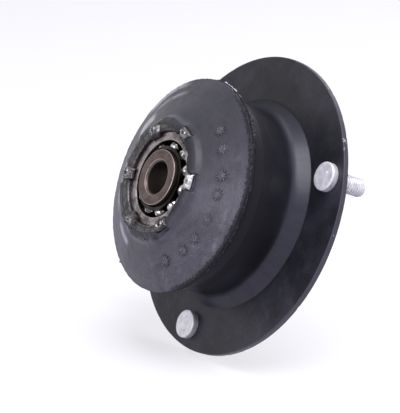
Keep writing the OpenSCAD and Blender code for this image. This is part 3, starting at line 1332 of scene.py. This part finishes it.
@dataclass
class RubberBody:
    """The moulded rubber between flange and hub, with its torn flash and face marks."""

    flange: FlangePlate
    hub: BearingHub
    overhang: float = 5.3
    disc_z: float = 34.7
    edge_h: float = 2.2
    flash_w: float = 0.5
    torn_side: Stretch = Stretch(-62.0, 52.0, 30.0)
    bulge: Stretch = Stretch(-40.0, 3.0, 8.0)
    bulge_w: float = 1.1
    nib: Stretch = Stretch(154.0, 0.4, 1.2)
    nib_w: float = 1.3
    flash_rates: Point = (14.0, 41.0)
    flash_cut: float = 0.65
    parting_h: float = 0.27
    rim_zone: Point = (0.9, 1.5)
    face_from: float = 0.8
    face_wave_rates: Point = (0.085, 0.26)
    face_waves: Point = (0.3, 0.1)
    collar_w: float = 4.3
    collar_h: float = 3.2
    collar_drop: float = 0.5
    lapped_side: Stretch = Stretch(-58.0, 55.0, 32.0)
    rough_side: Stretch = Stretch(-165.0, 28.0, 20.0)
    hollow_side: Stretch = Stretch(-156.0, 16.0, 10.0)
    drawn_in: float = 2.4
    drawn_up: float = 0.7
    lap: float = 0.8
    lap_l: float = 7.0
    cup_skin_z: float = 13.0
    under_hub: float = 6.0
    mark_r: float = 35.6
    mark_angles: tuple[float, ...] = (-34.0, -49.0, -68.0, -81.0, -99.0, -115.0, -128.0, -147.0)
    mark_size: float = 2.4
    mark_h: float = 0.28
    petals: int = 10
    petal_reach: tuple[float, ...] = (1.0, 0.66, 0.34, 0.66)
    hidden_step: float = 4.0
    shown_step: float = 0.75
    steps: int = 600
    sharp_angle: float = 45.0
    mark_sharp_angle: float = 60.0

    def __post_init__(self) -> None:
        """Work out the collar's edge once."""
        self.lip_pairs = self.lip()

    @property
    def disc_r(self) -> float:
        """Radius of the disc's rim."""
        return self.flange.neck_r + self.overhang

    @property
    def collar_r(self) -> float:
        """Radius of the collar's foot."""
        return self.hub.hub_r + self.collar_w

    @property
    def crown_z(self) -> float:
        """Height of the collar's crown."""
        return self.hub.rim_z - self.collar_drop

    @property
    def face_ends(self) -> Pair:
        """The outer and inner end of the disc's sloping face."""
        inner = (self.collar_r - 0.6, self.crown_z - self.collar_h + 0.5)
        return (self.disc_r - 0.25, self.disc_z + 1.4), inner

    def free_corners(self) -> list[Triple]:
        """Give the disc's rim, face and collar.

        Returns:
            Radius, height and rounding of each corner.
        """
        edge_z = self.disc_z - self.edge_h / 2
        outer, inner = self.face_ends
        return [
            (self.flange.neck_r + self.lap, edge_z - self.edge_h / 2 - 0.6, 3.0),
            (self.disc_r - 0.4, edge_z - 0.1, 0.6),
            (self.disc_r, self.disc_z - 0.1, 0.0),
            (self.disc_r + self.flash_w, self.disc_z + 0.15, 0.0),
            (self.disc_r + self.flash_w, self.disc_z + 0.4, 0.0),
            (self.disc_r, self.disc_z + 0.65, 0.0),
            (*outer, 0.4),
            (*inner, 3.0),
            (self.collar_r - 2.0, self.crown_z, 1.3),
        ]

    def bonded_corners(self) -> list[Triple]:
        """Give the corners against the hub and the flange, and the cup's skin.

        Returns:
            Radius, height and rounding of each corner.
        """
        hub, plate = self.hub, self.flange
        under_r = (hub.opening_r + hub.hub_r) / 2
        under_z = hub.foot_z - self.under_hub
        lap_z = plate.lip_z - self.lap_l
        return [
            (hub.hub_r, hub.load_top_z, 0.0),
            (hub.load_flange_r, hub.load_top_z, hub.edge_break),
            (hub.load_flange_r, hub.race_floor_z, hub.edge_break),
            (hub.hub_r, hub.race_floor_z, 0.0),
            (hub.hub_r, hub.foot_z, hub.edge_break),
            (under_r, hub.foot_z, 0.0),
            (under_r, under_z, 2.5),
            (plate.cup_r - 4.5, under_z, 6.0),
            (plate.cup_r, self.cup_skin_z, 0.0),
            (plate.cup_r, plate.lip_z - plate.sheet, plate.inner_bend),
            (plate.lip_r, plate.lip_z - plate.sheet, 0.0),
            (plate.lip_r, plate.lip_z, 0.0),
            (plate.neck_r, plate.lip_z, plate.bend_r),
            (plate.neck_r, lap_z, 0.0),
            (plate.neck_r + 0.08, lap_z, 0.0),
            (plate.neck_r + self.lap, lap_z + 0.7 * self.lap_l, 4.0),
        ]

    def lip(self) -> list[Pair]:
        """Give the collar's inner edge, each point with its place where it laps over the hub.

        Returns:
            The pairs of points.
        """
        hub_r, rim_z, crown_z = self.hub.hub_r, self.hub.rim_z, self.crown_z
        return between([
            ((hub_r + 1.1, crown_z), (hub_r - 1.5, rim_z + 0.75)),
            ((hub_r + 0.6, crown_z), (hub_r - 2.7, rim_z + 1.15)),
            ((hub_r + 0.25, crown_z - 0.1), (hub_r - 3.9, rim_z + 1.25)),
            ((hub_r + 0.1, crown_z - 0.25), (hub_r - 4.6, rim_z + 0.95)),
            ((hub_r, crown_z - 0.45), (hub_r - 4.3, rim_z + 0.1)),
            ((hub_r, crown_z - 0.7), (hub_r - 0.5, rim_z + 0.05)),
        ], 2)

    def section(self) -> list[Point]:
        """Give the rubber's section, split finely only where it shows.

        Returns:
            The section's points.
        """
        bonded = self.bonded_corners()
        collar_edge = [base for base, _ in self.lip_pairs]
        points = rounded(bonded + self.free_corners() + [(*collar_edge[0], 0.0)], 4) + collar_edge[1:]
        shown = len(rounded(bonded, 4))
        hidden = fine(points[: shown + 1], self.hidden_step)[:-1]
        return hidden + fine(points[shown:], self.shown_step)

    def flash(self, angle: float) -> float:
        """Give how far the torn flash stands out.

        Args:
            angle: Where, in degrees.

        Returns:
            The distance from the section's flash, in millimetres.
        """
        slow, quick = (rim_ripple(angle, rate, 0.3) for rate in self.flash_rates)
        torn = max(0.75 + 0.6 * slow + 0.5 * quick, 0.0) * self.torn_side.share(angle)
        bulge, nib = self.bulge_w * self.bulge.share(angle), self.nib_w * self.nib.share(angle)
        return torn + bulge + nib - self.flash_cut

    def lap_share(self, angle: float) -> float:
        """Tell how far the collar's torn edge laps over the hub.

        Args:
            angle: Where, in degrees.

        Returns:
            The share, about 1 where it laps over fully.
        """
        near = self.lapped_side.share(angle)
        ragged = 0.94 + 0.16 * ripple(angle * 0.08, 1.0, 9.0)
        ragged += (0.3 - 0.25 * near) * ripple(angle * 0.28, 3.0, 9.0)
        return (0.3 + 0.7 * near) * ragged * (1.0 - 0.95 * self.hub.notch_share(angle))

    def torn_rim(self, radius: float, angle: float, height: float) -> Vector:
        """Tear a point of the disc's rim.

        Args:
            radius: Its radius, in millimetres.
            angle: Its angle, in degrees.
            height: Its height, in millimetres.

        Returns:
            Its new place.
        """
        reach = smooth_window(abs(height - self.disc_z - self.parting_h), 0.15, 0.55)
        radius += self.flash(angle) * reach
        height += 0.4 * ripple(angle * 0.22, 4.0, 0.0) * reach
        ragged = ripple(angle * 0.35, height * 0.7, 6.0)
        ragged += 0.6 * ripple(angle * 1.1, height * 0.9, 8.0)
        ragged *= 0.3 + 0.7 * self.lapped_side.share(angle)
        radius += 0.4 * ragged * (1.0 - reach)
        height += 0.3 * ragged * smooth_window(abs(height - self.disc_z - 1.3), 0.2, 0.5)
        return from_polar(radius, angle, height)

    def wavy_face(self, point: Vector) -> Vector:
        """Give a point of the disc's face or collar its waves, tears and pockets.

        Args:
            point: The point.

        Returns:
            Its new place.
        """
        radius, angle, height = polar(point)
        from_hub = radius - self.hub.hub_r
        near = self.lapped_side.share(angle)
        waves = sum(
            noise.noise(point / MM * rate) * swell
            for rate, swell in zip(self.face_wave_rates, self.face_waves)
        )
        crown = smooth_window(from_hub, 2.2, 1.5)
        depth = 0.55 + 0.7 * self.rough_side.share(angle)
        torn = ripple(angle * 0.16, radius * 0.5, 7.0) * depth * crown
        hollow = smooth_window(from_hub + 0.9 * ripple(angle * 0.12, 2.0, 4.0), 1.9, 0.9)
        hollow *= self.hollow_side.share(angle)
        pocket = max(self.hub.notch_share(angle) * crown, hollow)
        drawn = near * smooth_window(from_hub, 1.5, 9.0)
        height += waves * (1.0 - 0.6 * drawn) + torn * (1.0 - near) - pocket + self.drawn_up * drawn
        return from_polar(radius - self.drawn_in * drawn, angle, height)

    def moulded(self, point: Vector) -> Vector:
        """Give the free surfaces their waves, flash and torn collar.

        Args:
            point: A point of the plain rubber.

        Returns:
            Its new place.
        """
        radius, angle, height = polar(point)
        on_crown = height > self.crown_z - 1.0
        move = shift_to_partner(radius, height, self.lip_pairs) if on_crown else None
        if move is not None:
            share = self.lap_share(angle)
            torn = 0.25 * ripple(angle * 0.3, radius * 2.0, 3.0)
            height += move[1] * share + torn * (1.0 - share)
            return from_polar(radius + move[0] * share, angle, height)
        if height < self.flange.lip_z + 0.5 or radius < self.hub.hub_r + 0.3:
            return point
        if radius > self.disc_r - self.rim_zone[0] and height < self.disc_z + self.rim_zone[1]:
            return self.torn_rim(radius, angle, height)
        return self.wavy_face(point) if height > self.disc_z + self.face_from else point

    def rosette(self, angle: float) -> bpy.types.Object:
        """Model one small raised rosette on the disc's face.

        Args:
            angle: Where it stands, in degrees.

        Returns:
            The rosette.
        """
        size, depth = self.mark_size * MM, self.mark_h * MM
        clear_selection()
        bpy.ops.mesh.primitive_cylinder_add(vertices=4 * self.petals, radius=size, depth=depth)
        piece = bpy.context.active_object
        for index, vertex in enumerate(piece.data.vertices):
            reach = self.petal_reach[index // 2 % 4]
            vertex.co.x *= reach
            vertex.co.y *= reach
        for face in piece.data.polygons:
            face.select = face.normal.z > 0.9
        with editing(piece, whole=False):
            bpy.ops.mesh.inset(thickness=0.12 * MM, depth=0.5 * depth)
        outer, inner = self.face_ends
        share = (outer[0] - self.mark_r) / (outer[0] - inner[0])
        height = outer[1] + (inner[1] - outer[1]) * share
        height += noise.noise(from_polar(self.mark_r, angle, 0.0) / MM) * 0.05
        lean = math.atan2(inner[1] - outer[1], outer[0] - inner[0])
        spot = Matrix.Translation(from_polar(self.mark_r, angle, height))
        turned = Matrix.Rotation(math.radians(angle), 4, "Z") @ Matrix.Rotation(lean, 4, "Y")
        piece.data.transform(spot @ turned)
        return piece

    def build(self) -> list[bpy.types.Object]:
        """Model the rubber and its face marks.

        Returns:
            The pieces.
        """
        rubber = MouldedRubber(self.disc_r, self.disc_z, self.collar_r, self.lapped_side.middle)
        piece = lathe("moulded_rubber", self.section(), self.steps)
        sculpt(piece, self.moulded)
        soften(piece, self.sharp_angle)
        settle(piece, Body.MOUNT, Slot.RUBBER, rubber.material(), "rubber_body")
        marks = merge([self.rosette(angle) for angle in self.mark_angles], "face_marks")
        soften(marks, self.mark_sharp_angle)
        return [piece, settle(marks, Body.MOUNT, Slot.RUBBER, DustyMark().material())]


@dataclass
class Bearing:
    """The double-row self-aligning ball bearing."""

    centre_z: float = 39.5
    outer_r: float = 20.8
    outer_w: float = 14.0
    outer_wall: float = 2.68
    inner_w: float = 18.8
    inner_land: float = 2.1
    bore_r: float = 7.0
    bore_chamfer: float = 0.95
    edge_break: float = 0.4
    ball_r: float = 3.175
    ball_gap: float = 0.08
    ball_cuts: int = 11
    row_z: float = 3.7
    ball_count: int = 11
    steps: int = 192
    sharp_angle: float = 35.0
    rows: tuple[str, ...] = ("upper", "lower")

    @property
    def raceway_r(self) -> float:
        """Radius of the outer race's spherical raceway."""
        return self.outer_r - self.outer_wall

    @property
    def mouth_r(self) -> float:
        """Radius of the opening in the outer race's face."""
        return math.sqrt(self.raceway_r**2 - self.outer_w**2 / 4) + self.edge_break

    @property
    def pitch_r(self) -> float:
        """Radius of the circle through the ball centres."""
        return math.sqrt((self.raceway_r - self.ball_r - self.ball_gap) ** 2 - self.row_z**2)

    def outer_section(self) -> list[Point]:
        """Give the outer race's section.

        Returns:
            The section's points.
        """
        half = self.outer_w / 2
        mouth = math.degrees(math.asin((half - self.edge_break) / self.raceway_r))
        outside = rounded([
            (self.mouth_r, self.centre_z - half, 0.0),
            (self.outer_r, self.centre_z - half, self.edge_break),
            (self.outer_r, self.centre_z + half, self.edge_break),
            (self.mouth_r, self.centre_z + half, 0.15),
        ], 4)
        return outside + arc((0.0, self.centre_z), self.raceway_r, mouth, -mouth, 24)

    def inner_section(self) -> list[Point]:
        """Give the inner race's section.

        Returns:
            The section's points.
        """
        low, high = self.centre_z - self.inner_w / 2, self.centre_z + self.inner_w / 2
        land, chamfer = self.pitch_r - self.inner_land, self.bore_chamfer
        groove_r = self.ball_r + self.ball_gap
        open_angle = math.degrees(math.acos(self.inner_land / groove_r))
        points = rounded([
            (land, high, 0.55),
            (self.bore_r + chamfer, high, 0.2),
            (self.bore_r, high - chamfer, 0.2),
            (self.bore_r, low + chamfer, 0.2),
            (self.bore_r + chamfer, low, 0.2),
            (land, low, 0.55),
        ], 4)
        for side in (-1, 1):
            centre = (self.pitch_r, self.centre_z + side * self.row_z)
            points += arc(centre, groove_r, 180.0 + open_angle, 180.0 - open_angle, 12)
        return points

    def race(self, node: str, section: list[Point], body: Body, metal: TurnedMetal) -> bpy.types.Object:
        """Model one race.

        Args:
            node: The node that it stands for.
            section: Its section's points.
            body: The body that it moves with.
            metal: Its finish.

        Returns:
            The race.
        """
        piece = lathe(f"turned_{node}", section, self.steps)
        soften(piece, self.sharp_angle)
        return settle(piece, body, Slot.RACE, metal.material(), node)

    def ball(self, node: str, material: bpy.types.Material) -> bpy.types.Object:
        """Model the ball that stands for a node.

        Args:
            node: The node's name.
            material: The ball's material.

        Returns:
            The ball.
        """
        low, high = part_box(node)
        clear_selection()
        bpy.ops.mesh.primitive_cube_add(size=2 * self.ball_r * MM, location=(Vector(low) + Vector(high)) / 2)
        piece = rename(bpy.context.active_object, f"polished_{node}")
        with editing(piece):
            bpy.ops.mesh.subdivide(number_cuts=self.ball_cuts)
        for vertex in piece.data.vertices:
            vertex.co = vertex.co.normalized() * self.ball_r * MM
        bpy.ops.object.transform_apply(location=True, rotation=True, scale=True)
        bpy.ops.object.shade_smooth()
        return settle(piece, Body.CAGE, Slot.BALL, material, node)

    def build(self) -> list[bpy.types.Object]:
        """Model the races and balls, and dress the cages.

        Returns:
            The pieces and the cages.
        """
        outer_metal = TurnedMetal(
            "outer_race_steel", (0.38, 0.325, 0.335), (0.1, 0.084, 0.086), 0.22,
            self.centre_z, self.outer_w / 2 - 0.5, self.mouth_r - 0.2,
            (self.mouth_r + 0.15, self.outer_r - 0.3),
        )
        inner_metal = TurnedMetal(
            "inner_race_steel", (0.145, 0.108, 0.098), (0.08, 0.058, 0.052), 0.28,
            self.centre_z, self.inner_w / 2 - 0.9, self.bore_r + 0.15,
            (self.bore_r + self.bore_chamfer, self.pitch_r - self.inner_land - 0.3),
            grease=(0.045, 0.038, 0.033),
        )
        pieces = [
            self.race("outer_race", self.outer_section(), Body.MOUNT, outer_metal),
            self.race("inner_race", self.inner_section(), Body.INNER, inner_metal),
        ]
        steel = PolishedBall().material()
        for row in self.rows:
            pieces += [self.ball(f"ball_{row}_{number}", steel) for number in range(1, self.ball_count + 1)]
        metal = TurnedMetal("greasy_cage_steel", (0.06, 0.05, 0.04), (0.015, 0.013, 0.011), 0.26)
        cage_steel = metal.material()
        cages = [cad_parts[f"cage_{row}"] for row in self.rows]
        for cage in cages:
            dress(cage, cage_steel)
        return pieces + cages


# Studio


@dataclass(frozen=True)
class Softbox:
    """A square soft lamp, placed in metres along the photograph's right, up and near directions."""

    name: str
    place: Triple
    size: float
    watts: float


@dataclass
class Studio:
    """The photograph's camera, a pale floor and soft lamps."""

    studs: Studs
    flange: FlangePlate
    forward: Triple = (-0.1130, 0.8043, -0.5834)
    right: Triple = (0.3798, -0.5076, -0.7733)
    up: Triple = (0.9181, 0.3090, 0.2481)
    eye_mm: Triple = (105.5, -795.8, 599.1)
    focal_pixels: float = 2297.6
    tilt_down: float = 15.0
    daylight: Triple = (0.92, 0.91, 1.0)
    skylight: Triple = (0.85, 0.81, 1.0)
    ambient: float = 0.31
    paper: Triple = (0.95, 0.93, 1.0)
    floor_glow: float = 0.66
    floor_size: float = 6.0
    floor_gap_mm: float = 0.3
    lamps: tuple[Softbox, ...] = (
        Softbox("key_softbox", (0.2, 0.95, 0.5), 0.9, 19.0),
        Softbox("top_softbox", (0.45, 1.1, -0.75), 0.8, 6.0),
        Softbox("left_softbox", (-0.95, 0.3, 0.55), 0.5, 4.0),
    )

    def floor_normal(self) -> Vector:
        """Give the photograph's own upward direction."""
        tilt = math.radians(self.tilt_down)
        return (Vector(self.up) * math.cos(tilt) - Vector(self.forward) * math.sin(tilt)).normalized()

    def hang(self, name: str, data: bpy.types.ID, place: Vector, turn: Matrix) -> bpy.types.Object:
        """Put a camera or a lamp in its place.

        Args:
            name: Its name.
            data: The camera's or lamp's own data.
            place: Where it stands, in metres.
            turn: How it is turned.

        Returns:
            The new object.
        """
        made = bpy.data.objects.new(name, data)
        bpy.context.collection.objects.link(made)
        made.matrix_world = Matrix.Translation(place) @ turn.to_4x4()
        return made

    def camera(self) -> None:
        """Set the camera at the photograph's viewing angle."""
        lens = bpy.data.cameras.new("photo_camera")
        lens.sensor_width = SENSOR_MM
        lens.lens = self.focal_pixels * SENSOR_MM / max(IMAGE_PIXELS)
        lens.clip_start = 0.01
        turn = Matrix((self.right, self.up, -Vector(self.forward))).transposed()
        bpy.context.scene.camera = self.hang("photo_camera", lens, Vector(self.eye_mm) * MM, turn)

    def floor(self) -> None:
        """Lay the floor under the part as it lies in the photograph, on its rim or a stud."""
        studs, normal = self.studs, self.floor_normal()
        tips = [from_polar(studs.circle_r, angle, -studs.length).dot(normal) for angle in studs.angles]
        side = math.hypot(normal.x, normal.y)
        tip_drop = min(tips) - studs.thread_r * MM * side
        low = min(tip_drop, -self.flange.rim_r * MM * side) - self.floor_gap_mm * MM
        clear_selection()
        bpy.ops.mesh.primitive_plane_add(size=self.floor_size)
        sheet = rename(bpy.context.active_object, "floor")
        turn = normal.to_track_quat("Z", "Y").to_matrix().to_4x4()
        sheet.data.transform(Matrix.Translation(normal * low) @ turn)
        board = Board(bpy.data.materials.new("pale_floor"))
        paper = board.node("ShaderNodeBsdfDiffuse", inputs={"Color": self.paper})
        glow = board.node("ShaderNodeEmission", inputs={"Color": WHITE})
        share = board.background_rays() * self.floor_glow
        lit = board.node("ShaderNodeMixShader", inputs={0: share, 1: paper, 2: glow})
        clear = board.node("ShaderNodeBsdfTransparent")
        behind = board.node("ShaderNodeNewGeometry", out="Backfacing")
        either = board.node("ShaderNodeMixShader", inputs={0: behind, 1: lit, 2: clear})
        board.node("ShaderNodeOutputMaterial", inputs={"Surface": either})
        dress(sheet, board.owner)

    def lamp(self, box: Softbox) -> None:
        """Hang one soft lamp that faces the part.

        Args:
            box: The lamp.
        """
        light = bpy.data.lights.new(box.name, "AREA")
        light.shape = "SQUARE"
        light.size = box.size
        light.energy = box.watts
        light.color = self.daylight
        across, rise, near = box.place
        spot = Vector(self.right) * across + self.floor_normal() * rise - Vector(self.forward) * near
        self.hang(box.name, light, spot, spot.to_track_quat("Z", "Y").to_matrix())

    def world(self) -> None:
        """Light the room evenly behind a white background."""
        scene = bpy.context.scene
        scene.world = scene.world or bpy.data.worlds.new("room")
        board = Board(scene.world)
        room = board.node("ShaderNodeBackground", inputs={"Color": self.skylight, "Strength": self.ambient})
        white = board.node("ShaderNodeBackground", inputs={"Color": WHITE})
        either = board.node("ShaderNodeMixShader", inputs={0: board.background_rays(), 1: room, 2: white})
        board.node("ShaderNodeOutputWorld", inputs={"Surface": either})

    def build(self) -> None:
        """Set up the camera, floor, lamps and world."""
        self.camera()
        self.floor()
        for box in self.lamps:
            self.lamp(box)
        self.world()


def main() -> None:
    """Build the part's looks and its studio, and report each piece."""
    logging.basicConfig(level=logging.INFO, format="%(message)s")
    bpy.context.scene.view_settings.view_transform = "Standard"
    noise.seed_set(NOISE_SEED)
    studs, hub = Studs(), BearingHub()
    flange = FlangePlate(studs)
    Studio(studs, flange).build()
    for assembly in (flange, studs, hub, RubberBody(flange, hub), Bearing()):
        for piece in assembly.build():
            log.info("%s: %d faces", piece.name, len(piece.data.polygons))
    bpy.context.view_layer.update()


if __name__ == "__main__":
    main()
